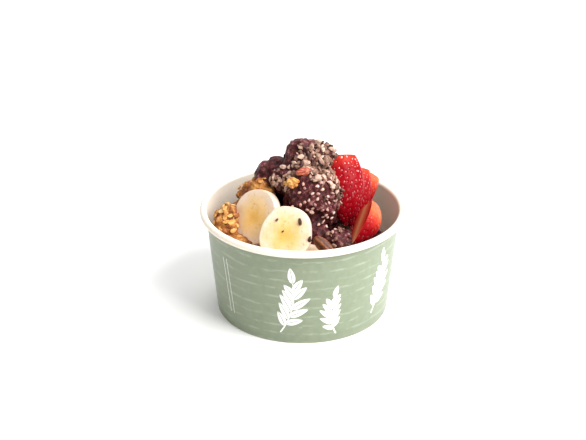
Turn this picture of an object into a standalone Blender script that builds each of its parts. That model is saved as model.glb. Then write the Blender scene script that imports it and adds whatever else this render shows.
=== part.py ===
"""A filled acai bowl: a rolled-rim paper bowl with a heap of acai sorbet, granola, banana slices and strawberries.

Metres, +Z up. The origin is the centre of the bowl's foot, on the table. The front of the bowl faces -Y.
Banana is at the front left, granola at the left, and the strawberries stand at the right.
"""

import math
import random

import bmesh
import bpy
from mathutils import Matrix, Vector, noise
from mathutils.bvhtree import BVHTree

MM = 0.001

# Paper bowl
RIM_RADIUS = 57.5 * MM
BEAD_RADIUS = 1.97 * MM
BOWL_HEIGHT = 60.7 * MM
FOOT_RADIUS = 48.4 * MM
WALL = 0.6 * MM
FOOT_WIDTH = 1.5 * MM
RECESS = 7.0 * MM
ROUND_STEPS = 72
BEAD_STEPS = 7
BEAD_CENTRE = Vector((RIM_RADIUS - BEAD_RADIUS, 0, BOWL_HEIGHT - BEAD_RADIUS))
INSIDE_TOP_RADIUS = BEAD_CENTRE.x - BEAD_RADIUS
WALL_SLOPE = (INSIDE_TOP_RADIUS + WALL - FOOT_RADIUS) / BEAD_CENTRE.z
FLOOR_TOP = RECESS + WALL

# Clearances
TOUCH_GAP = 0.36 * MM
SOCKET_GAP = 0.84 * MM

# Acai sorbet: a level pack with scoops pressed onto it, (centre, radii) in millimetres
PACK_LEVEL = 33 * MM
SCOOPS = [
    ((-4, 4, 37), (37, 36, 15)),
    ((5, -4, 66), (16, 17, 20)),
    ((2.5, 9, 84), (13.5, 13, 12.5)),
    ((-15, 13, 71), (12.5, 11, 11.5)),
    ((-8, 2, 76), (10, 9, 9)),
    ((14.5, 8, 86.5), (4.5, 4, 4.5)),
    ((2, 22, 60), (24, 18, 20)),
    ((17, 16, 64), (14, 14, 14)),
    ((21, -27, 48), (11, 10, 10)),
    ((9, -21, 50), (8, 7, 9)),
    ((-20, -18, 31), (24, 22, 11)),
]
SORBET_VOXEL = 1.7 * MM
SORBET_FACES = 3700

# Cacao nibs and hemp hearts on the sorbet: (zone centre, spread, count, nib length) in millimetres
NIB_ZONES = [
    ((4, 1, 96), 12, 22, 4.6),
    ((14, -6, 84), 9, 14, 4.4),
    ((-10, -5, 82), 8, 8, 4.2),
    ((10, -22, 72), 10, 9, 3.4),
    ((17, -22, 60), 8, 9, 4.2),
    ((20, -37, 54), 7, 5, 4.0),
]
NIB_SPACING = 3.6 * MM

# Banana slices: (centre, long radius, short radius, thickness in millimetres, turn left, lean back, roll in degrees)
BANANA_SLICES = [
    ((-25.2, -12.0, 59.0), 15.7, 15.2, 5.6, 43, 30, 0),
    ((-9.0, -33.0, 58.8), 15.9, 13.9, 5.8, 12, 30, -15),
    ((2.2, -37.2, 41.2), 14.0, 13.6, 5.6, 9, 59, 0),
]
BANANA_STEPS = 32

# Strawberry halves: (cut-face centre of the hulled end, tip) in millimetres, width, depth
FAN_NORMAL = Vector((0.25, -0.83, 0.50)).normalized()
STRAWBERRIES = [
    ((21.8, 10.8, 86.4), (23.8, -9.2, 52.4), 22.0, 8.0, FAN_NORMAL),
    ((32.8, 17.4, 75.3), (26.2, -1.4, 46.9), 16.5, 7.2, FAN_NORMAL),
    ((40.0, 25.5, 67.2), (27.0, 10.7, 49.5), 13.5, 6.6, FAN_NORMAL),
    ((34.8, -13.0, 67.4), (27.0, -33.5, 54.4), 20, 11.0, Vector((0.899, 0.104, -0.428))),
]
BERRY_STEPS = 24
BERRY_RINGS = 9

# Granola heap: bed lumps, then clusters and oat flakes on it
GRANOLA_BED = [
    ((-41, -6, 49), (7.5, 11, 10)),
    ((-26, 8, 59), (10, 10, 13)),
    ((-31, 4, 50), (10, 11, 11)),
    ((-36, -19, 43), (12, 12, 8)),
    ((-24, 1, 67), (6.5, 6, 8.5)),
]
GRANOLA_VOXEL = 2.2 * MM
GRANOLA_BED_FACES = 320
CLUSTER_COUNT = 12
FLAKE_COUNT = 16

# Single toppings lying on the sorbet: centre in millimetres
GOJI_CENTRE = (0.2, -10.5, 86.2)
CRUMB_CENTRE = (-5.8, -13.0, 81.0)
PECAN_CENTRE = (11.5, -36.4, 54.1)


# Scene and small tools


def start_scene():
    """Empties the scene and makes one collection for the pieces and one for the shapes that cut them."""
    for old in list(bpy.data.objects):
        bpy.data.objects.remove(old)
    pieces = bpy.data.collections.new("acai_bowl")
    cutters = bpy.data.collections.new("cutters")
    for group in (pieces, cutters):
        bpy.context.scene.collection.children.link(group)
    return pieces, cutters


def material(name, colour, roughness):
    made = bpy.data.materials.new(name)
    made.use_nodes = True
    surface = made.node_tree.nodes["Principled BSDF"]
    surface.inputs["Base Color"].default_value = (*colour, 1)
    surface.inputs["Roughness"].default_value = roughness
    surface.inputs["Metallic"].default_value = 0.0
    return made


def keep(obj, group):
    """Moves an object into one collection, and out of the others."""
    for old in list(obj.users_collection):
        old.objects.unlink(obj)
    group.objects.link(obj)
    return obj


def as_cutter(obj, group):
    keep(obj, group)
    obj.hide_render = True
    obj.display_type = "WIRE"
    return obj


def finish(obj, name, paint, group, smooth_angle=40):
    obj.name = name
    obj.data.name = name
    obj.data.materials.clear()
    obj.data.materials.append(paint)
    obj.data.set_sharp_from_angle(angle=math.radians(smooth_angle))
    return keep(obj, group)


def bake(obj):
    """Turns what the modifiers make into the object's own mesh."""
    graph = bpy.context.evaluated_depsgraph_get()
    made = bpy.data.meshes.new_from_object(obj.evaluated_get(graph))
    obj.modifiers.clear()
    obj.data = made
    return obj


def settle(obj):
    """Puts the object's place, turn and scale into its mesh."""
    bpy.context.view_layer.update()
    obj.data.transform(obj.matrix_world)
    obj.matrix_world = Matrix.Identity(4)
    return obj


def copy_of(obj, group):
    made = bpy.data.objects.new(obj.name + "_copy", obj.data.copy())
    made.matrix_world = obj.matrix_world.copy()
    group.objects.link(made)
    return made


def joined(objects):
    bpy.ops.object.select_all(action="DESELECT")
    for obj in objects:
        obj.select_set(True)
    bpy.context.view_layer.objects.active = objects[0]
    bpy.ops.object.join()
    return bpy.context.view_layer.objects.active


def boolean(obj, other, operation, solver="EXACT"):
    change = obj.modifiers.new(operation.lower(), "BOOLEAN")
    change.operation = operation
    change.solver = solver
    if isinstance(other, bpy.types.Collection):
        change.operand_type = "COLLECTION"
        change.collection = other
    else:
        change.object = other
    return bake(obj)


def largest_body(obj):
    """Drops the scraps that a cut leaves loose."""
    mesh = bmesh.new()
    mesh.from_mesh(obj.data)
    left = set(mesh.faces)
    bodies = []
    while left:
        found = {left.pop()}
        edge_of_search = list(found)
        while edge_of_search:
            face = edge_of_search.pop()
            near = {n for edge in face.edges for n in edge.link_faces} & left
            left -= near
            found |= near
            edge_of_search.extend(near)
        bodies.append(found)
    biggest = max(bodies, key=len)
    scraps = [f for body in bodies if body is not biggest for f in body]
    bmesh.ops.delete(mesh, geom=scraps, context="FACES")
    mesh.to_mesh(obj.data)
    mesh.free()
    return obj


def swollen(obj, gap, group, voxel=0):
    """A copy grown by the gap, which cuts a socket for the object. A voxel size remakes a craggy one cleanly."""
    made = as_cutter(copy_of(obj, group), group)
    made.modifiers.new("triangles", "TRIANGULATE")
    grow = made.modifiers.new("grow", "DISPLACE")
    grow.mid_level = 0
    grow.strength = gap
    if voxel:
        remesh(made, voxel)
    return bake(made)


def texture(name, kind, size):
    made = bpy.data.textures.new(name, kind)
    made.noise_scale = size
    return made


def displace(obj, pattern, strength, mid_level=0.5):
    push = obj.modifiers.new("relief", "DISPLACE")
    push.texture = pattern
    push.texture_coords = "LOCAL"
    push.strength = strength
    push.mid_level = mid_level


def remesh(obj, voxel):
    change = obj.modifiers.new("fuse", "REMESH")
    change.mode = "VOXEL"
    change.voxel_size = voxel


def decimate(obj, faces):
    """Reduces a mesh to about that many triangles."""
    bake(obj)
    triangles = sum(len(p.vertices) - 2 for p in obj.data.polygons)
    change = obj.modifiers.new("thin", "DECIMATE")
    change.ratio = min(1.0, faces / triangles)
    return bake(obj)


def lump(centre, radii, detail=4):
    """One pressed scoop: a ball of the given radii, in millimetres."""
    bpy.ops.mesh.primitive_ico_sphere_add(subdivisions=detail, radius=1, location=Vector(centre) * MM)
    made = bpy.context.active_object
    made.scale = Vector(radii) * MM
    return settle(made)


def upright_frame(origin, up, facing):
    """A matrix whose Z runs along up and whose -Y looks as far towards facing as it can."""
    z_axis = Vector(up).normalized()
    y_axis = -(Vector(facing) - Vector(facing).dot(z_axis) * z_axis).normalized()
    x_axis = y_axis.cross(z_axis)
    turn = Matrix((x_axis, y_axis, z_axis)).transposed().to_4x4()
    return Matrix.Translation(origin) @ turn


# The paper bowl


def outside_radius(height):
    return FOOT_RADIUS + WALL_SLOPE * height


def inside_radius(height):
    return outside_radius(height) - WALL


def turned(name, profile, steps, group):
    """A solid of revolution round Z, from (radius, height) points that start and end on the axis."""
    mesh = bpy.data.meshes.new(name)
    points = [(radius, 0, height) for radius, height in profile]
    edges = [(i, i + 1) for i in range(len(points) - 1)]
    mesh.from_pydata(points, edges, [])
    made = bpy.data.objects.new(name, mesh)
    group.objects.link(made)
    spin = made.modifiers.new("spin", "SCREW")
    spin.steps = steps
    spin.render_steps = steps
    spin.use_merge_vertices = True
    spin.merge_threshold = 0.00001
    return bake(made)


def paper_bowl(pieces):
    """Sidewall, rolled rim and recessed floor, glued into one piece of coated board."""
    under_bead = -math.acos((outside_radius(BEAD_CENTRE.z) - BEAD_CENTRE.x) / BEAD_RADIUS)
    bead = []
    for step in range(BEAD_STEPS + 1):
        angle = math.pi + (under_bead - math.pi) * step / BEAD_STEPS
        bead.append(
            (BEAD_CENTRE.x + BEAD_RADIUS * math.cos(angle), BEAD_CENTRE.z + BEAD_RADIUS * math.sin(angle))
        )
    skirt_inside = FOOT_RADIUS - FOOT_WIDTH
    profile = [
        (0, FLOOR_TOP),
        (inside_radius(FLOOR_TOP), FLOOR_TOP),
        *bead,
        (FOOT_RADIUS, 0),
        (skirt_inside, 0),
        (skirt_inside + WALL_SLOPE * RECESS, RECESS),
        (0, RECESS),
    ]
    board = material("coated_board", (0.42, 0.50, 0.37), 0.45)
    return finish(turned("paper_bowl", profile, ROUND_STEPS, pieces), "paper_bowl", board, pieces)


def bowl_hollow(group, lowest, highest):
    """The room inside the bowl, less the touching gap, as a solid that trims the food."""
    profile = [
        (0, highest),
        (inside_radius(highest) - TOUCH_GAP, highest),
        (inside_radius(lowest) - TOUCH_GAP, lowest),
        (0, lowest),
    ]
    return as_cutter(turned("hollow", profile, ROUND_STEPS, group), group)


# Fruit


def banana_slice(index, centre, long_radius, short_radius, thickness, turn_left, lean_back, roll, paint, pieces):
    """A slice of peeled banana: an oval with the five faint flats of the fruit."""
    bpy.ops.mesh.primitive_cylinder_add(vertices=BANANA_STEPS, radius=MM, depth=thickness * MM)
    made = bpy.context.active_object
    for point in made.data.vertices:
        angle = math.atan2(point.co.y, point.co.x)
        swell = 1 + 0.015 * math.cos(5 * angle + index)
        point.co.x *= swell * short_radius
        point.co.y *= swell * long_radius
    made.data.transform(Matrix.Rotation(math.radians(roll), 4, "Z"))
    edge = made.modifiers.new("edge", "BEVEL")
    edge.width = 0.7 * MM
    edge.segments = 1
    bake(made)
    left, lean = math.radians(turn_left), math.radians(lean_back)
    facing = Vector((-math.sin(left) * math.cos(lean), -math.cos(left) * math.cos(lean), math.sin(lean)))
    made.location = Vector(centre) * MM
    made.rotation_euler = facing.to_track_quat("Z", "Y").to_euler()
    return finish(settle(made), f"banana_slice_{index + 1}", paint, pieces)


def berry_radius(share):
    """Radius of a strawberry, as a share of its widest, from its tip at 0 to its hulled end at 1."""
    widest = 0.60
    if share < widest:
        return math.sin(math.pi / 2 * (share / widest) ** 0.80)
    return math.sqrt(max(0.0, 1 - ((share - widest) / 0.56) ** 2))


def strawberry_half(index, top, tip, width, depth, facing, paint, pieces):
    """Half of a hulled strawberry, with its skin towards facing and its cut face behind."""
    top, tip = Vector(top) * MM, Vector(tip) * MM
    length = (top - tip).length
    rings = BERRY_RINGS
    profile = [(0, length)]
    profile += [(width / 2 * MM * berry_radius(s / rings), length * s / rings) for s in range(rings, 0, -1)]
    profile += [(0, 0)]
    made = turned("berry", profile, BERRY_STEPS, pieces)
    flatten = 2 * depth / width
    for point in made.data.vertices:
        point.co.y *= flatten
        point.co.x += 0.05 * width * MM * math.sin(math.pi * point.co.z / length + index)
    mesh = bmesh.new()
    mesh.from_mesh(made.data)
    bmesh.ops.bisect_plane(
        mesh,
        geom=mesh.verts[:] + mesh.edges[:] + mesh.faces[:],
        dist=0.02 * MM,
        plane_co=(0, 0, 0),
        plane_no=(0, 1, 0),
        clear_outer=True,
    )
    bmesh.ops.holes_fill(mesh, edges=[e for e in mesh.edges if e.is_boundary])
    bmesh.ops.recalc_face_normals(mesh, faces=mesh.faces)
    mesh.to_mesh(made.data)
    mesh.free()
    made.matrix_world = upright_frame(tip, top - tip, facing)
    return finish(settle(made), f"strawberry_{index + 1}", paint, pieces)


# Single dry toppings


def knobbly(name, centre, radii, turn, roughness, size, detail, seed):
    """A dried or baked lump: a ball of those radii with a rough skin."""
    bpy.ops.mesh.primitive_ico_sphere_add(subdivisions=detail, radius=1)
    made = bpy.context.active_object
    made.name = name
    for point in made.data.vertices:
        shift = Vector((seed, 2.3 * seed, -1.7 * seed))
        point.co *= 1 + roughness * noise.noise(point.co / size + shift)
    made.scale = Vector(radii) * MM
    made.rotation_euler = [math.radians(a) for a in turn]
    made.location = Vector(centre) * MM
    return settle(made)


def goji_berry(pieces):
    """A dried goji berry, long and wrinkled, on the front of the heap."""
    paint = material("dried_goji", (0.55, 0.12, 0.06), 0.5)
    made = knobbly("goji", GOJI_CENTRE, (4.2, 2.2, 2.3), (0, -12, 8), 0.3, 0.6, 2, 3)
    return finish(made, "goji_berry", paint, pieces)


def granola_crumb(pieces, cutters):
    """A small baked granola cluster that lies below the goji berry."""
    paint = material("baked_oats", (0.60, 0.38, 0.14), 0.7)
    x, y, z = CRUMB_CENTRE
    core = knobbly("crumb", (x, y, z), (3.4, 2.8, 2.6), (20, 10, 0), 0.4, 0.6, 2, 5)
    beads = bpy.data.collections.new("crumb_beads")
    cutters.children.link(beads)
    for n, shift in enumerate([(-2.8, -0.6, -0.4), (2.4, -1.0, 1.0), (0.4, -1.2, 2.2), (0.2, -1.4, -1.8)]):
        place = (x + shift[0], y + shift[1], z + shift[2])
        keep(knobbly("bead", place, (1.8, 1.5, 1.4), (40 * n, 25 * n, 0), 0.3, 0.6, 1, n), beads)
    boolean(core, beads, "UNION")
    drop_group(beads)
    return finish(largest_body(core), "granola_crumb", paint, pieces)


def pecan_piece(pieces):
    """A broken length of pecan with its lengthwise grooves, in front by the rim."""
    paint = material("pecan_skin", (0.25, 0.11, 0.05), 0.55)
    bpy.ops.mesh.primitive_uv_sphere_add(segments=16, ring_count=9, radius=1)
    made = bpy.context.active_object
    for point in made.data.vertices:
        groove = 1 + 0.16 * math.cos(4 * math.atan2(point.co.y, point.co.x))
        point.co.x *= groove
        point.co.y *= groove
    made.scale = Vector((3.0, 2.6, 6.9)) * MM
    made.matrix_world = (
        upright_frame(Vector(PECAN_CENTRE) * MM, (0.73, -0.33, -0.60), (0, -1, 0.5))
        @ Matrix.Diagonal((*made.scale, 1))
    )
    return finish(settle(made), "pecan_piece", paint, pieces)


def drop_group(group):
    """Removes a collection's objects once they are fused."""
    for obj in list(group.objects):
        bpy.data.objects.remove(obj)
    bpy.data.collections.remove(group)


# The sorbet


def sorbet_core(cutters):
    """The bare sorbet: pack and scoops fused, with the crags that a scoop tears, trimmed to the bowl."""
    bpy.ops.mesh.primitive_cylinder_add(
        vertices=ROUND_STEPS, radius=RIM_RADIUS, depth=PACK_LEVEL, location=(0, 0, PACK_LEVEL / 2)
    )
    pack = settle(bpy.context.active_object)
    made = joined([pack] + [lump(*scoop) for scoop in SCOOPS])
    remesh(made, SORBET_VOXEL)
    soften = made.modifiers.new("soften", "SMOOTH")
    soften.iterations = 3
    displace(made, texture("crags", "CLOUDS", 9 * MM), 5.0 * MM)
    displace(made, texture("flakes", "VORONOI", 5 * MM), 1.8 * MM)
    remesh(made, SORBET_VOXEL)
    decimate(made, SORBET_FACES)
    made.name = "sorbet_core"
    hollow = bowl_hollow(cutters, FLOOR_TOP + TOUCH_GAP, 0.12)
    boolean(made, hollow, "INTERSECT")
    return keep(largest_body(made), cutters)


def surface_tree(obj):
    graph = bpy.context.evaluated_depsgraph_get()
    return BVHTree.FromObject(obj, graph)


def nib(place, normal, length, draw):
    """A shard of cracked cacao bean, lying on the surface and a third sunk."""
    bpy.ops.mesh.primitive_ico_sphere_add(subdivisions=1, radius=1)
    made = bpy.context.active_object
    for point in made.data.vertices:
        point.co *= draw.uniform(0.75, 1.2)
    long_half = length / 2 * draw.uniform(0.8, 1.2)
    wide_half = long_half * draw.uniform(0.5, 0.75)
    thick_half = long_half * draw.uniform(0.36, 0.5)
    spin = Matrix.Rotation(draw.uniform(0, math.tau), 4, "Z")
    tip_up = Matrix.Rotation(draw.uniform(-0.5, 0.5), 4, "X")
    stand = normal.to_track_quat("Z", "Y").to_matrix().to_4x4()
    sizes = Matrix.Diagonal((long_half, wide_half, thick_half, 1))
    seat = Matrix.Translation(place + normal * thick_half * 0.25)
    made.matrix_world = seat @ stand @ spin @ tip_up @ sizes
    return settle(made)


def clear_of(obj, trees, gap):
    """Whether every corner of the object stands off from the other pieces."""
    for tree in trees:
        for point in obj.data.vertices:
            near, normal, _, distance = tree.find_nearest(point.co)
            inside = (point.co - near).dot(normal) < 0 and distance < 6 * MM
            if inside or distance < gap:
                return False
    return True


def scatter_nibs(core, zones, spacing, others, group, draw):
    """Drops nibs near each zone's centre, clear of each other and of the other pieces."""
    ground = surface_tree(core)
    near = [surface_tree(obj) for obj in others]
    placed = []
    for centre, spread, count, length in zones:
        made = 0
        for _ in range(count * 30):
            if made == count:
                break
            reach = Vector(draw.gauss(0, spread / 2) for _ in range(3))
            place, normal, _, _ = ground.find_nearest((Vector(centre) + reach) * MM)
            if normal.z < -0.2 or any((place - old).length < spacing for old in placed):
                continue
            bit = nib(place, normal, length * MM, draw)
            if not clear_of(bit, near, SOCKET_GAP):
                bpy.data.objects.remove(bit)
                continue
            keep(bit, group)
            placed.append(place)
            made += 1
    return placed


def acai(core, others, heap, pieces, cutters):
    """The sorbet with a socket for every piece that sits in it, and the nibs fused on."""
    paint = material("acai_sorbet", (0.075, 0.018, 0.030), 0.4)
    made = copy_of(core, pieces)
    for other in others:
        boolean(made, swollen(other, SOCKET_GAP, cutters), "DIFFERENCE")
    largest_body(made)
    nibs = bpy.data.collections.new("nibs")
    cutters.children.link(nibs)
    scatter_nibs(made, NIB_ZONES, NIB_SPACING, [*others, heap], nibs, random.Random(11))
    boolean(made, nibs, "UNION")
    drop_group(nibs)
    return finish(largest_body(made), "acai", paint, pieces)


# The granola


def oat_flake(place, normal, draw):
    """A rolled oat: a thin, slightly cupped oval."""
    bpy.ops.mesh.primitive_ico_sphere_add(subdivisions=1, radius=1)
    made = bpy.context.active_object
    for point in made.data.vertices:
        point.co.z += 0.8 * (point.co.x**2)
    stand = normal.to_track_quat("Z", "Y").to_matrix().to_4x4()
    spin = Matrix.Rotation(draw.uniform(0, math.tau), 4, "Z")
    tilt = Matrix.Rotation(draw.uniform(-0.9, 0.9), 4, "X")
    sizes = Matrix.Diagonal((draw.uniform(3.4, 4.6) * MM, draw.uniform(2.4, 3.2) * MM, 1.0 * MM, 1))
    made.matrix_world = Matrix.Translation(place + normal * 0.6 * MM) @ stand @ spin @ tilt @ sizes
    return settle(made)


def granola(core, fruit, pieces, cutters):
    """The heap at the left: baked clusters and oat flakes fused to a bed, resting on the sorbet."""
    paint = bpy.data.materials["baked_oats"]
    made = joined([lump(*bed, detail=3) for bed in GRANOLA_BED])
    remesh(made, GRANOLA_VOXEL)
    displace(made, texture("heap", "CLOUDS", 6 * MM), 2.5 * MM)
    remesh(made, GRANOLA_VOXEL)
    decimate(made, GRANOLA_BED_FACES)
    keep(made, pieces)
    draw = random.Random(4)
    ground = surface_tree(made)
    bits = bpy.data.collections.new("bits")
    cutters.children.link(bits)
    placed = []
    middle = Vector((-30, -2, 50)) * MM
    while len(placed) < CLUSTER_COUNT + FLAKE_COUNT:
        aim = Vector((draw.uniform(-1, 0.5), draw.uniform(-1, 1), draw.uniform(-0.1, 1))).normalized()
        place, normal, _, _ = ground.ray_cast(middle + aim * 0.1, -aim)
        if place is None or any((place - old).length < 4.2 * MM for old in placed):
            continue
        placed.append(place)
        if len(placed) <= CLUSTER_COUNT:
            size = draw.uniform(2.6, 4.0)
            turn = [draw.uniform(0, 360) for _ in range(3)]
            bit = knobbly("cluster", place / MM, (size, size * 0.8, size * 0.7), turn, 0.4, 0.6, 2, len(placed))
        else:
            bit = oat_flake(place, normal, draw)
        keep(bit, bits)
    boolean(made, bits, "UNION")
    drop_group(bits)
    boolean(made, swollen(core, 1.4 * MM, cutters, 1.15 * GRANOLA_VOXEL), "DIFFERENCE")
    for other in fruit:
        boolean(made, swollen(other, SOCKET_GAP, cutters), "DIFFERENCE")
    boolean(made, bowl_hollow(cutters, FLOOR_TOP + TOUCH_GAP, 0.12), "INTERSECT")
    return finish(largest_body(made), "granola", paint, pieces)


def main():
    pieces, cutters = start_scene()
    paper_bowl(pieces)
    banana_paint = material("banana_flesh", (0.85, 0.68, 0.36), 0.5)
    berry_paint = material("strawberry_skin", (0.52, 0.012, 0.016), 0.3)
    bananas = [banana_slice(n, *slice_, banana_paint, pieces) for n, slice_ in enumerate(BANANA_SLICES)]
    berries = [strawberry_half(n, *berry, berry_paint, pieces) for n, berry in enumerate(STRAWBERRIES)]
    singles = [goji_berry(pieces), granola_crumb(pieces, cutters), pecan_piece(pieces)]
    core = sorbet_core(cutters)
    as_cutter(core, cutters)
    heap = granola(core, bananas, pieces, cutters)
    acai(core, bananas + berries + singles, heap, pieces, cutters)
    for cutter in list(cutters.objects):
        bpy.data.objects.remove(cutter)


main()
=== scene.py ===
"""An acai bowl: a rolled-rim paper bowl filled with acai sorbet, with granola, banana slices, strawberry pieces,
cacao nibs and hemp hearts on it. Each section below is one piece, or one kind of piece, of the real thing."""

import math
import random

import bpy
from mathutils import Matrix, Vector, noise
from mathutils.bvhtree import BVHTree
from mathutils.kdtree import KDTree


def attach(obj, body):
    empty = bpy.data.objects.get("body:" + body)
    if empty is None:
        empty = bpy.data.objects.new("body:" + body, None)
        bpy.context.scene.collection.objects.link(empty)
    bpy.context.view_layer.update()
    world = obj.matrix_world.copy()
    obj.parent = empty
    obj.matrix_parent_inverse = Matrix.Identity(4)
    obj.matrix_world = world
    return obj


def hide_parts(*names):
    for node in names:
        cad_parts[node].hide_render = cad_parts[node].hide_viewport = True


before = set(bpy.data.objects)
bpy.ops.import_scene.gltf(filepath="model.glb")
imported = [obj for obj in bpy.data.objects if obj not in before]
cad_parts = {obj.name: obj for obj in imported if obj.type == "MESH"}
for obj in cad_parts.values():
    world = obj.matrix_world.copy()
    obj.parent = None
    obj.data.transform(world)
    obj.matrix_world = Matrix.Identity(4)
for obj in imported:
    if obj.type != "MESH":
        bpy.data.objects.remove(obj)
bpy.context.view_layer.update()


# The paper bowl
# A food cup of paperboard with a water-tight coat. The side is one blank, printed green outside, lapped and glued at
# the back; its top edge is rolled outwards into the rim, and its foot is folded in round a recessed floor disc.

MM = 0.001
RIM_RADIUS = 57.5 * MM
BEAD_RADIUS = 1.97 * MM
BOWL_HEIGHT = 60.7 * MM
FOOT_RADIUS = 48.4 * MM
BOARD = 0.6 * MM
FOOT_WIDTH = 1.5 * MM
RECESS = 7.0 * MM
FLOOR_TOP = RECESS + BOARD
BEAD = Vector((RIM_RADIUS - BEAD_RADIUS, 0, BOWL_HEIGHT - BEAD_RADIUS))
WALL_SLOPE = (BEAD.x - BEAD_RADIUS + BOARD - FOOT_RADIUS) / BEAD.z
LAP_START, LAP_WIDTH, LAP_STEP = math.radians(96), 8 * MM, 0.22 * MM
WALL_STEPS, BEAD_STEPS = 240, 26
PRINT_TOP = 56.2 * MM
PRINT_RADIUS = 52 * MM


def outside_radius(height):
    return FOOT_RADIUS + WALL_SLOPE * height


def pick(*objects):
    """Selects these objects and nothing else, with the first one active."""
    bpy.ops.object.select_all(action="DESELECT")
    for obj in objects:
        obj.select_set(True)
    bpy.context.view_layer.objects.active = objects[0]


def added(operator, **settings):
    """Adds a primitive with nothing else selected, and returns it."""
    bpy.ops.object.select_all(action="DESELECT")
    operator(**settings)
    return bpy.context.active_object


def twin(source, name):
    """A copy of an object and its mesh, in the same place."""
    made = bpy.data.objects.new(name, source.data.copy())
    made.matrix_world = source.matrix_world.copy()
    bpy.context.scene.collection.objects.link(made)
    return made


def settle(obj):
    """Applies the modifiers, then puts the object's place, turn and size into its mesh."""
    pick(obj)
    for change in list(obj.modifiers):
        bpy.ops.object.modifier_apply(modifier=change.name)
    bpy.ops.object.transform_apply(location=True, rotation=True, scale=True)
    return obj


def joined(objects, name):
    """Joins the objects into the first one, under this name."""
    pick(*objects)
    bpy.ops.object.join()
    objects[0].name = name
    return objects[0]


def lathe(name, profile, steps, turn=math.tau):
    """A body of revolution round Z: the profile's (radius, height) points are extruded in turn and spun round.
    Less than a full turn is closed with a flat face."""
    made = settle(added(bpy.ops.mesh.primitive_plane_add, size=MM, location=(profile[0][0], 0, profile[0][1])))
    made.name = name
    bpy.ops.object.mode_set(mode="EDIT")
    bpy.ops.mesh.select_all(action="SELECT")
    bpy.ops.mesh.merge(type="CENTER")
    for here, there in zip(profile, profile[1:]):
        step = (there[0] - here[0], 0, there[1] - here[1])
        bpy.ops.mesh.extrude_region_move(TRANSFORM_OT_translate={"value": step})
    bpy.ops.mesh.select_all(action="SELECT")
    bpy.ops.mesh.spin(steps=steps, angle=turn, center=(0, 0, 0), axis=(0, 0, 1))
    bpy.ops.mesh.select_all(action="SELECT")
    bpy.ops.mesh.remove_doubles(threshold=0.002 * MM)
    bpy.ops.mesh.select_all(action="DESELECT")
    bpy.ops.mesh.select_non_manifold()
    if turn != math.tau:
        bpy.ops.mesh.edge_face_add()
    bpy.ops.mesh.select_all(action="SELECT")
    bpy.ops.mesh.normals_make_consistent(inside=False)
    bpy.ops.object.mode_set(mode="OBJECT")
    return made


def linear(code):
    """An sRGB hex colour as the linear colour that shaders take."""
    parts = [int(code[n : n + 2], 16) / 255 for n in (1, 3, 5)]
    return (*[c / 12.92 if c <= 0.04045 else ((c + 0.055) / 1.055) ** 2.4 for c in parts], 1)


def new_material(name, **constants):
    """A material of one Principled shader, with the values that are the same all over its surface. It comes with the
    two functions that build it up: node adds a node, and wire links nodes into the shader."""
    made = bpy.data.materials.new(name)
    made.use_nodes = True
    tree = made.node_tree
    sockets = tree.nodes["Principled BSDF"].inputs
    for socket, value in constants.items():
        sockets[socket.replace("_", " ")].default_value = value

    def link(source, socket):
        tree.links.new(source.outputs[0] if isinstance(source, bpy.types.Node) else source, socket)

    def node(kind, values=(), links=(), stops=(), **settings):
        """A node with its settings, the values on its sockets, the links into them, and a ramp's colour stops."""
        new = tree.nodes.new("ShaderNode" + kind)
        for setting, value in settings.items():
            setattr(new, setting, value)
        for socket, value in dict(values).items():
            new.inputs[socket].default_value = value
        for socket, source in dict(links).items():
            link(source, new.inputs[socket])
        if stops:
            marks = new.color_ramp.elements
            marks.remove(marks[-1])
            marks[0].position, marks[0].color = stops[0][0], linear(stops[0][1])
            for place, code in stops[1:]:
                marks.new(place).color = linear(code)
        return new

    def wire(**sources):
        for socket, source in sources.items():
            link(source, sockets[socket.replace("_", " ")])

    return made, node, wire


def per(size):
    """The texture scale that makes a pattern's cells that many millimetres wide."""
    return 1 / (size * MM)


def hand_over(obj, nodes, slot, *materials, angle=40):
    """Smooths the finished piece, paints it, and hands it to the frame in place of its CAD nodes."""
    pick(obj)
    bpy.ops.object.shade_smooth_by_angle(angle=math.radians(angle))
    obj.data.materials.clear()
    for paint in materials:
        obj.data.materials.append(paint)
    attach(obj, "root")
    if nodes:
        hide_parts(*nodes)
    return obj


under_bead = -math.acos((outside_radius(BEAD.z) - BEAD.x) / BEAD_RADIUS)
bead_turns = [math.pi + (under_bead - math.pi) * n / BEAD_STEPS for n in range(BEAD_STEPS + 1)]
skirt = FOOT_RADIUS - FOOT_WIDTH
floor_edge = outside_radius(FLOOR_TOP) - BOARD
bowl = lathe(
    "paper_bowl_board",
    [
        (0, FLOOR_TOP),
        (floor_edge - 0.8 * MM, FLOOR_TOP),
        (floor_edge - 0.2 * MM, FLOOR_TOP + 0.2 * MM),
        (floor_edge + 0.08 * MM, FLOOR_TOP + 0.9 * MM),
        *[(outside_radius(h * MM) - BOARD, h * MM) for h in (20, 32, 44, 54)],
        *[(BEAD.x + BEAD_RADIUS * math.cos(a), BEAD.z + BEAD_RADIUS * math.sin(a)) for a in bead_turns],
        *[(outside_radius(h * MM), h * MM) for h in (55, 50, 40, 30, 20, 10, 0.3)],
        (FOOT_RADIUS - 0.25 * MM, 0),
        (skirt + 0.25 * MM, 0),
        (skirt, 0.3 * MM),
        (skirt + WALL_SLOPE * RECESS, RECESS),
        (0, RECESS),
    ],
    WALL_STEPS,
)
lap_turn = LAP_WIDTH / outside_radius(BOWL_HEIGHT / 2)
for point in bowl.data.vertices:
    radius = point.co.to_2d().length
    turn = math.atan2(point.co.y, point.co.x) - LAP_START
    on_wall = 0.3 * MM < point.co.z < 55.5 * MM and radius > outside_radius(point.co.z) - 0.1 * MM
    if on_wall and 0 < turn < lap_turn:
        point.co *= Vector((1, 1, 1)) + Vector((1, 1, 0)) * LAP_STEP / radius

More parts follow.
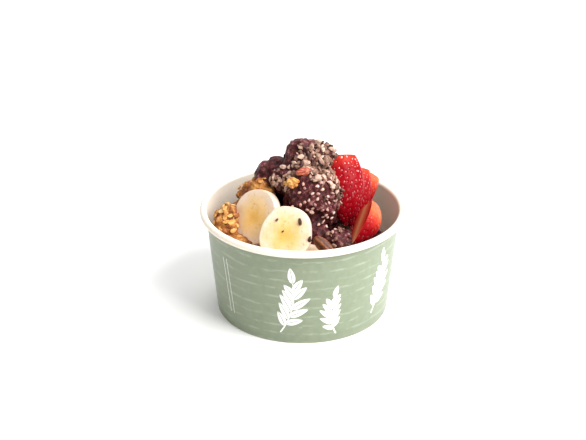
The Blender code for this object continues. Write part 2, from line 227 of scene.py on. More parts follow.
# White polythene-coated board: smooth, slightly waxy, with a faint fibre texture under the coat.
white_board, node, wire = new_material("white_coated_board", Roughness=0.42, IOR=1.5, Subsurface_Weight=0.05)
coords = node("TexCoord").outputs["Object"]
fibres = node("TexNoise", {"Scale": per(0.9), "Detail": 4.0, "Roughness": 0.6}, {"Vector": coords})
tint = node("ValToRGB", links={"Fac": fibres}, stops=[(0.3, "#e6dbca"), (0.7, "#efe5d6")])
coat = node("Bump", {"Strength": 0.25, "Distance": 0.03 * MM}, {"Height": fibres})
wire(Base_Color=tint, Normal=coat)

# Sage-green litho print under a satin coat: even ink, a little mottled, with faint pale brushed lines round the cup.
green_print, node, wire = new_material("sage_printed_board", Roughness=0.38, IOR=1.5)
coords = node("TexCoord").outputs["Object"]
place = node("SeparateXYZ", links={0: coords})
around = node("Math", links={0: place.outputs["X"], 1: place.outputs["Y"]}, operation="ARCTAN2")
arc = node("Math", {1: PRINT_RADIUS}, {0: around}, operation="MULTIPLY")
unrolled = node("CombineXYZ", links={0: arc, 1: place.outputs["Z"]})
drift = node("TexNoise", {"Scale": per(26), "Detail": 1.0}, {"Vector": unrolled})
sway = node("Math", {1: 5.0 * MM}, {0: drift}, operation="MULTIPLY")
level = node("Math", links={0: place.outputs["Z"], 1: sway}, operation="ADD")
rows = node("Math", {1: per(5.8)}, {0: level}, operation="MULTIPLY")
row = node("Math", {1: 1.0}, {0: rows}, operation="FLOORED_MODULO")
band = [(0.34, "#000000"), (0.42, "#ffffff"), (0.56, "#ffffff"), (0.64, "#000000")]
line = node("ValToRGB", links={"Fac": row}, stops=band)
stretch = node("Mapping", {"Scale": (1.0, 2.6, 1.0)}, {"Vector": unrolled})
breaks = node("TexNoise", {"Scale": per(9), "Detail": 3.0, "Roughness": 0.6}, {"Vector": stretch})
gaps = node("ValToRGB", links={"Fac": breaks}, stops=[(0.44, "#000000"), (0.60, "#ffffff")])
faint = node("Math", links={0: line, 1: gaps}, operation="MULTIPLY")
share = node("Math", {1: 0.30}, {0: faint}, operation="MULTIPLY")
mottle = node("TexNoise", {"Scale": per(3.5), "Detail": 5.0, "Roughness": 0.65}, {"Vector": coords})
ink = node("ValToRGB", links={"Fac": mottle}, stops=[(0.3, "#78826a"), (0.7, "#828c73")])
printed = node("Mix", {7: linear("#b4bea8")}, {0: share, 6: ink}, data_type="RGBA")
fibres = node("TexNoise", {"Scale": per(0.9), "Detail": 4.0, "Roughness": 0.6}, {"Vector": coords})
coat = node("Bump", {"Strength": 0.3, "Distance": 0.03 * MM}, {"Height": fibres})
wire(Base_Color=printed.outputs[2], Normal=coat)

hand_over(bowl, ["paper_bowl"], "coated_board", white_board, green_print)
for face in bowl.data.polygons:
    middle = face.center
    outer = middle.to_2d().length > outside_radius(middle.z) - 0.2 * MM
    face.material_index = int(outer and 0.2 * MM < middle.z < PRINT_TOP)


# The white print
# Leaf sprigs and two thin rules in opaque white ink on the green side, as wide as a hand-sized motif on a food cup.
# The ink lies on the board, so each shape is a skin a few hundredths of a millimetre thick, bent round the cup.

INK_THICKNESS = 0.03 * MM
# (turn round the cup from the front, height of the foot of the stem, length, lean, bend) in degrees and millimetres
SPRIGS = [
    (-14, 7, 34, 34, -44),
    (22, 5, 25, -26, 44),
    (50, 10, 32, 30, -38),
    (92, 6, 34, -24, 40),
    (130, 8, 30, 26, -36),
    (168, 6, 34, -24, 38),
    (206, 8, 31, 28, -40),
    (246, 6, 34, -26, 40),
]
LEAF_PAIRS = 5
FULL_SPRIG = 34
STEM_STEPS = 20


def on_cup(arc, height, proud):
    """A point on the cup's side, at a distance round it from the front, standing proud of the board."""
    height = max(2.5 * MM, min(54 * MM, height))
    radius = outside_radius(height) + proud
    turn = arc / PRINT_RADIUS - math.pi / 2
    return Vector((radius * math.cos(turn), radius * math.sin(turn), height))


def ink_shape(columns, rows, outline):
    """A flat grid, 0 to 1 long and -1 to 1 wide, that outline(along, across) bends onto the cup."""
    made = added(bpy.ops.mesh.primitive_grid_add, x_subdivisions=columns, y_subdivisions=rows, size=2)
    for point in made.data.vertices:
        point.co = on_cup(*outline((point.co.x + 1) / 2, point.co.y), INK_THICKNESS)
    return made


def stem_point(sprig, along):
    """Where a sprig's stem is at a share of its length, and the direction it grows in."""
    turn, foot, length, lean, bend = sprig
    across, up = math.radians(turn) * PRINT_RADIUS, foot * MM
    for n in range(STEM_STEPS):
        way = math.radians(lean + bend * n / STEM_STEPS)
        if n / STEM_STEPS >= along:
            break
        across += math.sin(way) * length * MM / STEM_STEPS
        up += math.cos(way) * length * MM / STEM_STEPS
    return across, up, way


def leaf(sprig, along, side, length, width):
    """Half a leaf with a clear midrib, from the stem outwards."""
    across, up, way = stem_point(sprig, along)
    way += side * math.radians(46 - 22 * along)

    def outline(far, off):
        half = width * math.sin(math.pi * min(1, max(0, far)) ** 0.75) ** 0.8 * (0.05 + 0.95 * (off + 1) / 2)
        half = (half + 0.10 * MM) * rib
        sway = 0.12 * length * far * far * side
        return (
            across + math.sin(way) * length * far + math.cos(way) * (half + sway),
            up + math.cos(way) * length * far - math.sin(way) * (half + sway),
        )

    halves = []
    for rib in (-1, 1):
        halves.append(ink_shape(12, 4, outline))
    return halves


ink_pieces = []
for sprig in SPRIGS:
    size = sprig[2] / FULL_SPRIG

    def stem(far, off):
        across, up, way = stem_point(sprig, far)
        half = (0.42 - 0.24 * far) * MM * off
        return across + math.cos(way) * half, up - math.sin(way) * half

    ink_pieces.append(ink_shape(24, 1, stem))
    for n in range(LEAF_PAIRS):
        along = 0.14 + 0.80 * n / LEAF_PAIRS
        length = (13.0 - 5.5 * abs(along - 0.42) / 0.5) * size * MM
        for side in (-1, 1):
            ink_pieces += leaf(sprig, min(1, along + 0.035 * side), side, length, 2.0 * size * MM)
    ink_pieces += leaf(sprig, 0.97, 0, 10.0 * size * MM, 1.9 * size * MM)
for rule in (-50, -47):

    def thin_rule(far, off):
        return rule * MM + 2.2 * MM * far + 0.16 * MM * off, (44 - 34 * far) * MM

    ink_pieces.append(ink_shape(16, 1, thin_rule))
white_ink_shapes = joined(ink_pieces, "white_print")
bpy.ops.object.mode_set(mode="EDIT")
bpy.ops.mesh.select_all(action="SELECT")
bpy.ops.mesh.remove_doubles(threshold=0.002 * MM)
bpy.ops.mesh.normals_make_consistent(inside=False)
bpy.ops.object.mode_set(mode="OBJECT")
thick = white_ink_shapes.modifiers.new("ink_film", "SOLIDIFY")
thick.thickness = 0.8 * INK_THICKNESS
thick.offset = 0
settle(white_ink_shapes)

# Opaque white flexo ink: flat and chalky, a shade warmer than the coated rim.
white_ink, node, wire = new_material("white_flexo_ink", Roughness=0.5, IOR=1.5)
coords = node("TexCoord").outputs["Object"]
speckle = node("TexNoise", {"Scale": per(1.2), "Detail": 3.0}, {"Vector": coords})
tint = node("ValToRGB", links={"Fac": speckle}, stops=[(0.35, "#eeede6"), (0.65, "#f6f5f0")])
wire(Base_Color=tint)
hand_over(white_ink_shapes, [], "coated_board", white_ink)


# The banana slices
# Three slices cut across a peeled banana, about 5.6 mm thick: pale firm flesh outside, a faint ring, and a softer
# golden core with three rays of tiny seeds. They lean on the heap, edge to edge.

# (centre, long radius, short radius, thickness in millimetres, turn left, lean back, roll in degrees)
BANANA_SLICES = [
    ((-25.2, -12.0, 59.0), 15.7, 15.2, 5.6, 43, 30, 0),
    ((-9.0, -33.0, 58.8), 15.9, 13.9, 5.8, 12, 30, -15),
    ((2.2, -37.2, 41.2), 14.0, 13.6, 5.6, 9, 59, 0),
]


def remember(obj, name, values):
    """Keeps a number or a vector for each vertex, which the material reads. One number alone goes to all of them."""
    if isinstance(values, float):
        values = [values] * len(obj.data.vertices)
    single = isinstance(values[0], float)
    kept = obj.data.attributes.new(name, "FLOAT" if single else "FLOAT_VECTOR", "POINT")
    for point, value in zip(kept.data, values):
        setattr(point, "value" if single else "vector", value)


# Ripe banana flesh, freshly cut: moist and starchy, so it lets some light in and has a soft shine.
banana_flesh, node, wire = new_material(
    "ripe_banana_flesh",
    Roughness=0.45,
    IOR=1.36,
    Subsurface_Weight=0.12,
    Subsurface_Scale=1.2 * MM,
    Subsurface_Radius=(1.0, 0.75, 0.35),
)
cut = node("Attribute", attribute_name="cut").outputs["Vector"]
wobble = node("TexNoise", {"Scale": 3.4, "Detail": 5.0, "Roughness": 0.65}, {"Vector": cut})
shift = node("MapRange", {"To Min": -0.42, "To Max": 0.42}, {"Value": wobble})
flat = node("VectorMath", {1: (1.0, 1.0, 0.0)}, {0: cut}, operation="MULTIPLY")
reach = node("VectorMath", links={0: flat}, operation="LENGTH").outputs["Value"]
ring = node("Math", links={0: reach, 1: shift}, operation="ADD")
flesh = node(
    "ValToRGB",
    links={"Fac": ring},
    stops=[
        (0.04, "#e4ac52"),
        (0.22, "#e9bb6b"),
        (0.42, "#ebc485"),
        (0.60, "#eacca0"),
        (0.78, "#ead2b6"),
        (0.96, "#e9d5c3"),
    ],
)
sides = node("SeparateXYZ", links={0: cut})
turn = node("Math", links={0: sides.outputs["Y"], 1: sides.outputs["X"]}, operation="ARCTAN2")
spoke = node("CombineXYZ", links={0: turn, 1: reach})
fine = node("Mapping", {"Scale": (7.0, 1.6, 1.0)}, {"Vector": spoke})
rays = node("TexNoise", {"Scale": 1.6, "Detail": 4.0, "Roughness": 0.65}, {"Vector": fine})
ray_share = node("ValToRGB", links={"Fac": rays}, stops=[(0.45, "#000000"), (0.75, "#8c8c8c")])
rayed = node("Mix", {7: linear("#e6c078")}, {0: ray_share, 6: flesh}, data_type="RGBA")
ripeness = node("TexNoise", {"Scale": 2.3, "Detail": 3.0, "Roughness": 0.6}, {"Vector": cut})
ripe_share = node("ValToRGB", links={"Fac": ripeness}, stops=[(0.50, "#000000"), (0.72, "#b8b8b8")])
ripened = node("Mix", {7: linear("#e6b452")}, {0: ripe_share, 6: rayed.outputs[2]}, data_type="RGBA")
thrice = node("Math", {1: 3.0}, {0: turn}, operation="MULTIPLY")
lobes = node("Math", links={0: thrice}, operation="COSINE")
in_lobe = node("ValToRGB", links={"Fac": lobes}, stops=[(0.25, "#000000"), (0.7, "#ffffff")])
core = [(0.10, "#000000"), (0.16, "#ffffff"), (0.38, "#ffffff"), (0.46, "#000000")]
in_core = node("ValToRGB", links={"Fac": reach}, stops=core)
long_cells = node("Mapping", {"Scale": (2.2, 4.6, 1.0)}, {"Vector": spoke})
pips = node("TexVoronoi", {"Scale": 3.2}, {"Vector": long_cells})
pip = node("ValToRGB", links={"Fac": pips}, stops=[(0.16, "#ffffff"), (0.30, "#000000")])
seeded = node("Math", links={0: in_lobe, 1: in_core}, operation="MULTIPLY")
seeds_here = node("Math", links={0: seeded, 1: pip}, operation="MULTIPLY")
seed_share = node("Math", {1: 0.75}, {0: seeds_here}, operation="MULTIPLY")
with_seeds = node("Mix", {7: linear("#a8793c")}, {0: seed_share, 6: ripened.outputs[2]}, data_type="RGBA")
bruises = node("TexNoise", {"Scale": 8.0, "Detail": 2.0}, {"Vector": cut})
bruise_share = node("ValToRGB", links={"Fac": bruises}, stops=[(0.62, "#000000"), (0.70, "#b0b0b0")])
bruised = node("Mix", {7: linear("#a9762f")}, {0: bruise_share, 6: with_seeds.outputs[2]}, data_type="RGBA")
wire(Base_Color=bruised.outputs[2])
starch = node("TexNoise", {"Scale": 16.0, "Detail": 5.0, "Roughness": 0.7}, {"Vector": cut})
grain = node("Bump", {"Strength": 0.5, "Distance": 0.25 * MM}, {"Height": starch})
wire(Normal=grain)

bananas = []
for index, (centre, long_radius, short_radius, thickness, left, lean, roll) in enumerate(BANANA_SLICES):
    half = thickness / 2 * MM
    edge = 0.8
    turns = [math.radians(15 * n) for n in range(7)]
    upper = [(n / 22 * (1 - edge / 15), half) for n in range(22)]
    upper += [(1 - edge / 15 * (1 - math.sin(a)), half - edge * MM * (1 - math.cos(a))) for a in turns]
    profile = [(r * MM, z) for r, z in upper] + [(1.006 * MM, 0)] + [(r * MM, -z) for r, z in reversed(upper)]
    banana = lathe(f"banana_slice_{index + 1}_flesh", profile, 96)
    cut_places = []
    for point in banana.data.vertices:
        x, y, z = point.co.x / MM, point.co.y / MM, point.co.z
        cut_places.append((x, y, z / half))
        angle = math.atan2(y, x)
        away = min(1.0, math.hypot(x, y))
        lobed = noise.noise(Vector((2 * math.cos(angle), 2 * math.sin(angle), index)))
        swell = 1 + 0.015 * math.cos(5 * angle + index) + 0.012 * lobed
        core_dip = 0.18 * MM * math.exp(-((away / 0.32) ** 2))
        uneven = 0.16 * MM * noise.noise(Vector((3 * x, 3 * y, 7 * index))) - core_dip
        point.co.x *= swell * short_radius
        point.co.y *= swell * long_radius
        point.co.z += uneven if z > 0 else -uneven
    remember(banana, "cut", cut_places)
    left, lean = math.radians(left), math.radians(lean)
    facing = Vector((-math.sin(left) * math.cos(lean), -math.cos(left) * math.cos(lean), math.sin(lean)))
    banana.matrix_world = (
        Matrix.Translation(Vector(centre) * MM)
        @ facing.to_track_quat("Z", "Y").to_matrix().to_4x4()
        @ Matrix.Rotation(math.radians(roll), 4, "Z")
    )
    settle(banana)
    hand_over(banana, [f"banana_slice_{index + 1}"], "banana_flesh", banana_flesh, angle=60)
    bananas.append(banana)


# The strawberry pieces
# Hulled strawberries cut lengthwise. Three stand in a fan with the skin to the front, and one leans by the wall with
# its cut face to the left. Each pale seed sits in its own dimple of the glossy skin.

FAN = Vector((0.25, -0.83, 0.50)).normalized()
# (cut-face centre of the hulled end, tip, width, depth) in millimetres, the way the skin faces, how much paler it is:
# partly pale unripe shoulders and partly painted light from the key lamp on the right
STRAWBERRIES = [
    ((21.8, 10.8, 86.4), (23.8, -9.2, 52.4), 22.0, 8.0, FAN, 0.02),
    ((32.8, 17.4, 75.3), (26.2, -1.4, 46.9), 16.5, 7.2, FAN, 0.08),
    ((40.0, 25.5, 67.2), (27.0, 10.7, 49.5), 13.5, 6.6, FAN, 0.28),
    ((34.8, -13.0, 67.4), (27.0, -33.5, 54.4), 20.0, 11.0, Vector((0.899, 0.104, -0.428)), 0.48),
]
SEED_SPACING = 3.0 * MM
SEED_SIZE = Vector((0.36, 0.20, 0.54)) * MM
DIMPLE_RADIUS, DIMPLE_DEPTH = 1.25 * MM, 0.40 * MM
BERRY_BEND = 0.05


def berry_radius(share):
    """Radius of a strawberry as a share of its widest, from its tip at 0 to its hulled end at 1."""
    widest = 0.60
    if share < widest:
        return math.sin(math.pi / 2 * (share / widest) ** 0.80)
    return math.sqrt(max(0.0, 1 - ((share - widest) / 0.56) ** 2))


def upright_frame(origin, up, facing):
    """A matrix whose Z runs along up and whose -Y looks as far towards facing as it can."""
    z_axis = Vector(up).normalized()
    y_axis = -(Vector(facing) - Vector(facing).dot(z_axis) * z_axis).normalized()
    x_axis = y_axis.cross(z_axis)
    return Matrix.Translation(origin) @ Matrix((x_axis, y_axis, z_axis)).transposed().to_4x4()


# Strawberry skin over wet flesh: a thin glossy skin, deep red at the tip and paler at the shoulders, that lets a
# little light in. Where it is cut, the flesh is orange-red at the edge and pale with fine rays inside.
berry_skin, node, wire = new_material(
    "strawberry_skin_and_flesh",
    Roughness=0.30,
    IOR=1.36,
    Specular_IOR_Level=0.14,
    Subsurface_Weight=0.04,
    Subsurface_Scale=1.0 * MM,
    Subsurface_Radius=(1.0, 0.25, 0.15),
)
cut = node("Attribute", attribute_name="cut").outputs["Vector"]
sides = node("SeparateXYZ", links={0: cut})
coords = node("TexCoord").outputs["Object"]
blotch = node("TexNoise", {"Scale": per(5), "Detail": 3.0}, {"Vector": coords})
shift = node("MapRange", {"To Min": -0.08, "To Max": 0.08}, {"Value": blotch})
along = node("Math", {1: 0.8}, {0: sides.outputs["Z"], 2: shift}, operation="MULTIPLY_ADD")
skin = node(
    "ValToRGB",
    links={"Fac": along},
    stops=[
        (0.08, "#7e020f"),
        (0.40, "#86020f"),
        (0.66, "#8f0711"),
        (0.77, "#a8231b"),
        (0.87, "#bd4226"),
        (0.98, "#cb6440"),
    ],
)
flesh_reach = node("Math", links={0: sides.outputs["X"]}, operation="ABSOLUTE")
flesh = node(
    "ValToRGB",
    links={"Fac": flesh_reach},
    stops=[(0.05, "#dc9068"), (0.25, "#d46a48"), (0.55, "#c94932"), (0.80, "#b62b21"), (0.95, "#9c1814")],
)
ray_map = node("Mapping", {"Scale": (1.5, 1.0, 9.0)}, {"Vector": cut})
rays = node("TexNoise", {"Scale": 2.0, "Detail": 3.0}, {"Vector": ray_map})
ray_share = node("ValToRGB", links={"Fac": rays}, stops=[(0.5, "#000000"), (0.7, "#707070")])
rayed = node("Mix", {7: linear("#cf8a62")}, {0: ray_share, 6: flesh}, data_type="RGBA")
cut_share = node("ValToRGB", links={"Fac": sides.outputs["Y"]}, stops=[(0.0, "#ffffff"), (0.02, "#000000")])
wear = node("Mix", links={0: cut_share, 6: skin, 7: rayed.outputs[2]}, data_type="RGBA")
wire(Base_Color=wear.outputs[2])
pores = node("TexNoise", {"Scale": per(0.8), "Detail": 3.0}, {"Vector": coords})
grain = node("Bump", {"Strength": 0.25, "Distance": 0.08 * MM}, {"Height": pores})
wire(Normal=grain)

# Strawberry seeds: hard, dry grains with a slight shine, from dark red to pale pink.
seed_coat, node, wire = new_material("strawberry_seed_coat", Roughness=0.4, IOR=1.5)
shade = node("Attribute", attribute_name="shade").outputs["Fac"]
straw = [(0.0, "#7c1a20"), (0.35, "#a34a48"), (0.7, "#cc908a"), (1.0, "#ecccc2")]
tint = node("ValToRGB", links={"Fac": shade}, stops=straw)
wire(Base_Color=tint)

berries = []
seed_draw = random.Random(21)
seed_master = added(bpy.ops.mesh.primitive_uv_sphere_add, segments=8, ring_count=6, radius=1)
for point in seed_master.data.vertices:
    point.co.x *= 1 - 0.35 * point.co.z
for index, (top, tip, width, depth, facing, pale_and_painted_light) in enumerate(STRAWBERRIES):
    top, tip = Vector(top) * MM, Vector(tip) * MM
    length, width, depth = (top - tip).length, width * MM, depth * MM

    def skin_point(share, angle):
        radius = width / 2 * berry_radius(share)
        bend = BERRY_BEND * width * math.sin(math.pi * share + index)
        return Vector((radius * math.cos(angle) + bend, radius * math.sin(angle) * 2 * depth / width, share * length))

    profile = [(0, length), (width / 4 * berry_radius(1), length)]
    profile += [(width / 2 * berry_radius(s / 80), length * s / 80) for s in range(80, 0, -1)]
    profile += [(0, 0)]
    berry = lathe(f"strawberry_{index + 1}_flesh", profile, 96, math.pi)
    for point in berry.data.vertices:
        point.co.y *= 2 * depth / width
        point.co.x += BERRY_BEND * width * math.sin(math.pi * point.co.z / length + index)
    places = [point.co for point in berry.data.vertices]
    # The pale shift moves the skin towards the pale shoulder colour; on the two right-hand pieces it is partly
    # painted light.
    remember(berry, "cut", [(p.x / (width / 2), -p.y / depth, p.z / length + pale_and_painted_light) for p in places])
    spots = []
    row = 0
    height = 0.035
    while height < 0.97:
        around = math.pi * (width / 2 * berry_radius(height) + depth) / 2 * 1.1
        count = max(1, round(around / SEED_SPACING))
        for n in range(count):
            turn = -math.pi * (n + (0.75 if row % 2 else 0.25)) / count
            jitter = seed_draw.uniform(-0.16, 0.16)
            spots.append((height + seed_draw.uniform(-0.024, 0.024), turn + jitter))
        row += 1
        height += 0.86 * SEED_SPACING / length
    places = []
    for share, angle in spots:
        here = skin_point(share, angle)
        upward = skin_point(min(1, share + 0.01), angle) - skin_point(max(0.001, share - 0.01), angle)
        sideways = skin_point(share, angle + 0.03) - skin_point(share, angle - 0.03)
        normal = sideways.cross(upward).normalized()
        if here.y < -0.7 * MM:
            places.append((here, normal, upward.normalized()))
    finder = KDTree(len(places))
    for n, (here, _, _) in enumerate(places):
        finder.insert(here, n)
    finder.balance()
    for point in berry.data.vertices:
        _, n, far = finder.find(point.co)
        if far < DIMPLE_RADIUS and point.co.y < -0.1 * MM:
            point.co -= places[n][1] * DIMPLE_DEPTH * (1 - (far / DIMPLE_RADIUS) ** 2) ** 2
    stand = upright_frame(tip, top - tip, facing)
    # Seeds are paler towards the hulled end, most on the front piece: partly their own colour and partly painted
    # highlight.
    seed_pale_and_highlight = 0.9 if index == 0 else 0.4
    grains = []
    for here, normal, upward in places:
        grain_copy = twin(seed_master, "seed")
        sideways = upward.cross(normal).normalized()
        frame_of_seed = Matrix((sideways, normal, upward)).transposed().to_4x4()
        grain_copy.matrix_world = (
            stand
            @ Matrix.Translation(here - normal * (DIMPLE_DEPTH - 0.10 * MM))
            @ frame_of_seed
            @ Matrix.Diagonal((*(SEED_SIZE * seed_draw.uniform(0.5, 1.15)), 1))
        )
        remember(grain_copy, "shade", seed_draw.uniform(0.05, 0.3) + seed_pale_and_highlight * (here.z / length) ** 2)
        grains.append(grain_copy)
    berry.matrix_world = stand
    settle(berry)
    hand_over(berry, [f"strawberry_{index + 1}"], "strawberry_skin", berry_skin, angle=50)
    seeds = settle(joined(grains, f"strawberry_{index + 1}_seeds"))
    hand_over(seeds, [], "strawberry_skin", seed_coat, angle=80)
    berries.append(berry)
bpy.data.objects.remove(seed_master)


# The goji berry, the granola crumb and the pecan
# Three single toppings: a dried goji berry with its wrinkles, a small baked cluster of oats below it, and a broken
# piece of pecan with lengthwise grooves that leans on the rim side of the heap.

GOJI_CENTRE = (0.2, -10.5, 86.2)
CRUMB_CENTRE = (-5.8, -13.0, 81.0)
CRUMB_BEADS = [
    (-2.8, -0.6, -0.4),
    (2.4, -1.0, 1.0),
    (0.4, -1.2, 2.0),
    (0.2, -1.4, -1.7),
    (-1.4, -1.6, 1.3),
    (1.8, -1.5, -0.8),
]
PECAN_CENTRE, PECAN_AXIS = (11.5, -36.4, 54.1), (0.73, -0.33, -0.60)


def lump(name, centre, radii, detail=4):
    """A ball of the given radii at its place, in millimetres."""
    place = Vector(centre) * MM
    made = added(bpy.ops.mesh.primitive_ico_sphere_add, subdivisions=detail, radius=MM, location=place, scale=radii)
    made.name = name
    return settle(made)


def relief(obj, kind, size, strength, middle=0.5, **settings):
    """Pushes the surface in and out by a pattern of that size."""
    pattern = bpy.data.textures.new(f"{obj.name}_{kind.lower()}_{size}", kind)
    pattern.noise_scale = size * MM
    for name, value in settings.items():
        setattr(pattern, name, value)
    push = obj.modifiers.new("relief", "DISPLACE")
    push.texture = pattern
    push.texture_coords = "LOCAL"
    push.strength = strength * MM
    push.mid_level = middle


def fuse(obj, voxel):
    change = obj.modifiers.new("fuse", "REMESH")
    change.mode = "VOXEL"
    change.voxel_size = voxel * MM


# Dried goji: leathery salmon-red skin in lengthwise wrinkles, half dull and half waxy. Its colour follows the
# wrinkles: darker in the hollows, which is painted shade, and paler on the ridges, which is painted highlight.
goji_skin, node, wire = new_material(
    "dried_goji_skin", Roughness=0.45, IOR=1.45, Subsurface_Weight=0.1, Subsurface_Scale=1.0 * MM
)
coords = node("TexCoord").outputs["Object"]
long_way = node("Mapping", {"Scale": (0.35, 1.0, 1.0)}, {"Vector": coords})
wrinkle_and_painted_shade = node("TexNoise", {"Scale": per(1.6), "Detail": 4.0, "Roughness": 0.6}, {"Vector": long_way})
tint = node("ValToRGB", links={"Fac": wrinkle_and_painted_shade}, stops=[(0.3, "#6e2114"), (0.5, "#a3472f"), (0.7, "#c78468")])
folds = node("Bump", {"Strength": 0.9, "Distance": 0.8 * MM}, {"Height": wrinkle_and_painted_shade})
wire(Base_Color=tint, Normal=folds)
goji = lump("goji_berry_skin", (0, 0, 0), (4.2, 2.1, 2.2), 5)
for point in goji.data.vertices:
    angle = math.atan2(point.co.z, point.co.y)
    crease = 0.13 * math.cos(4 * angle + 0.7 * point.co.x / MM) + 0.07 * math.cos(9 * angle - 1.1 * point.co.x / MM)
    crease += 0.22 * noise.noise(point.co / (2.4 * MM))
    point.co.y *= 1 + crease
    point.co.z *= 1 + crease
goji.matrix_world = (
    Matrix.Translation(Vector(GOJI_CENTRE) * MM)
    @ Matrix.Rotation(math.radians(8), 4, "Z")
    @ Matrix.Rotation(math.radians(-12), 4, "Y")
)
settle(goji)
hand_over(goji, ["goji_berry"], "dried_goji", goji_skin, angle=80)

# Baked oats with syrup: golden where thin, brown where toasted, matt flour with small glossy drops.
baked_oats, node, wire = new_material("baked_oats", IOR=1.45, Subsurface_Weight=0.06, Subsurface_Scale=0.8 * MM)
coords = node("TexCoord").outputs["Object"]
shade = node("Attribute", attribute_name="shade").outputs["Fac"]
crumb = node("TexNoise", {"Scale": per(1.4), "Detail": 5.0, "Roughness": 0.7}, {"Vector": coords})
toast = node("TexNoise", {"Scale": per(7), "Detail": 2.0}, {"Vector": coords})
both = node("Math", links={0: crumb, 1: toast}, operation="ADD")
lift = node("Math", {1: 0.55}, {0: shade}, operation="MULTIPLY")
total = node("Math", links={0: both, 1: lift}, operation="ADD")
scaled = node("Math", {1: 0.6}, {0: total}, operation="MULTIPLY")
tint = node(
    "ValToRGB",
    links={"Fac": scaled},
    stops=[(0.42, "#592a0f"), (0.56, "#925222"), (0.69, "#c0843e"), (0.82, "#dfb068"), (0.95, "#f0d3a0")],
)
shine = node("MapRange", {"To Min": 0.45, "To Max": 0.85}, {"Value": crumb})
rough_skin = node("Bump", {"Strength": 0.9, "Distance": 0.35 * MM}, {"Height": crumb})
wire(Base_Color=tint, Roughness=shine, Normal=rough_skin)
crumb_parts = [lump("granola_crumb_oats", CRUMB_CENTRE, (3.3, 2.7, 2.5))]
for n, shift in enumerate(CRUMB_BEADS):
    bead = [middle + off for middle, off in zip(CRUMB_CENTRE, shift)]
    crumb_parts.append(lump("bead", bead, (1.8 - 0.08 * n, 1.4, 1.3), 3))
small_cluster = joined(crumb_parts, "granola_crumb_oats")
fuse(small_cluster, 0.32)
relief(small_cluster, "CLOUDS", 1.6, 0.9)
relief(small_cluster, "VORONOI", 1.0, 0.9)
settle(small_cluster)
remember(small_cluster, "shade", 0.3)
hand_over(small_cluster, ["granola_crumb"], "baked_oats", baked_oats, angle=80)

# Pecan skin: thin brown skin with darker grooves, and golden nutmeat where it is broken.
pecan_skin, node, wire = new_material("pecan_skin", Roughness=0.5, IOR=1.45)
shade = node("Attribute", attribute_name="shade").outputs["Fac"]
coords = node("TexCoord").outputs["Object"]
flecks = node("TexNoise", {"Scale": per(1.0), "Detail": 5.0, "Roughness": 0.7}, {"Vector": coords})
mixed = node("Math", links={0: flecks, 1: shade}, operation="MULTIPLY")
tint = node(
    "ValToRGB",
    links={"Fac": mixed},
    stops=[(0.12, "#2c1008"), (0.30, "#5c2c14"), (0.46, "#8a5026"), (0.62, "#d09a52"), (0.8, "#e6bd7c")],
)
skin_bump = node("Bump", {"Strength": 0.6, "Distance": 0.2 * MM}, {"Height": flecks})
wire(Base_Color=tint, Normal=skin_bump)
pecan = lump("pecan_piece_skin", (0, 0, 0), (3.0, 2.6, 6.9), 5)
pecan_shades = []
for point in pecan.data.vertices:
    angle = math.atan2(point.co.y, point.co.x)
    ridge = math.cos(4 * angle)
    broken = max(0.0, point.co.z / MM - 4.2)
    pecan_shades.append(0.62 + 0.18 * ridge + 0.9 * min(1, broken))
    grow = 1 + 0.15 * ridge + 0.05 * noise.noise(point.co / (1.2 * MM))
    point.co.x *= grow
    point.co.y *= grow
remember(pecan, "shade", pecan_shades)
pecan.matrix_world = upright_frame(Vector(PECAN_CENTRE) * MM, PECAN_AXIS, (0, -1, 0.5))
settle(pecan)
hand_over(pecan, ["pecan_piece"], "pecan_skin", pecan_skin, angle=80)


# The acai sorbet
# A level pack of soft-frozen acai with scoops pressed onto it. The scoop tears the surface into crags; their high
# edges are painted pinkish, partly frost and partly painted highlight, and the hollows darker as painted shade. It is
# hollowed where each piece of fruit is pressed in.

SORBET_VOXEL = 0.85
PACK_LEVEL = 33 * MM
ROOM_STEPS, ROOM_TOP = 144, 0.12
SOCKET_GAP = 0.12 * MM
# (centre, radii) in millimetres
SCOOPS = [
    ((-4, 4, 37), (37, 36, 15)),
    ((5, -4, 66), (16, 17, 20)),
    ((2.5, 9, 84), (13.5, 13, 12.5)),
    ((-15, 13, 71), (12.5, 11, 11.5)),
    ((-8, 2, 76), (10, 9, 9)),
    ((14.5, 8, 86.5), (4.5, 4, 4.5)),
    ((2, 22, 60), (24, 18, 20)),
    ((17, 16, 64), (14, 14, 14)),
    ((21, -27, 48), (11, 10, 10)),
    ((9, -21, 50), (8, 7, 9)),
    ((-20, -18, 31), (24, 22, 11)),
]


def room_in_bowl(gap):
    """The space inside the bowl, less a gap, which trims the food."""
    lowest = FLOOR_TOP + gap
    walls = [(outside_radius(height) - BOARD - gap, height) for height in (ROOM_TOP, lowest)]
    return lathe("room", [(0, ROOM_TOP), *walls, (0, lowest)], ROOM_STEPS)


def carve(obj, other, operation="DIFFERENCE", gap=0.0):
    """Cuts, trims or joins with a merged copy of the other shape, grown by the gap."""
    tool = twin(other, "tool")
    pick(tool)
    if gap:
        grow = tool.modifiers.new("grow", "DISPLACE")
        grow.mid_level = 0
        grow.strength = gap
        settle(tool)
    change = obj.modifiers.new("carve", "BOOLEAN")
    change.operation = operation
    change.solver = "MANIFOLD"
    change.object = tool
    pick(obj)
    bpy.ops.object.modifier_apply(modifier=change.name)
    bpy.data.objects.remove(tool)
    return obj


def drop_scraps(obj):
    """Keeps the largest connected body and deletes the scraps that a cut leaves loose."""
    pick(obj)
    bpy.ops.mesh.separate(type="LOOSE")
    bodies = sorted(bpy.context.selected_objects, key=lambda o: len(o.data.polygons))
    for scrap in bodies[:-1]:
        bpy.data.objects.remove(scrap)
    return bodies[-1]


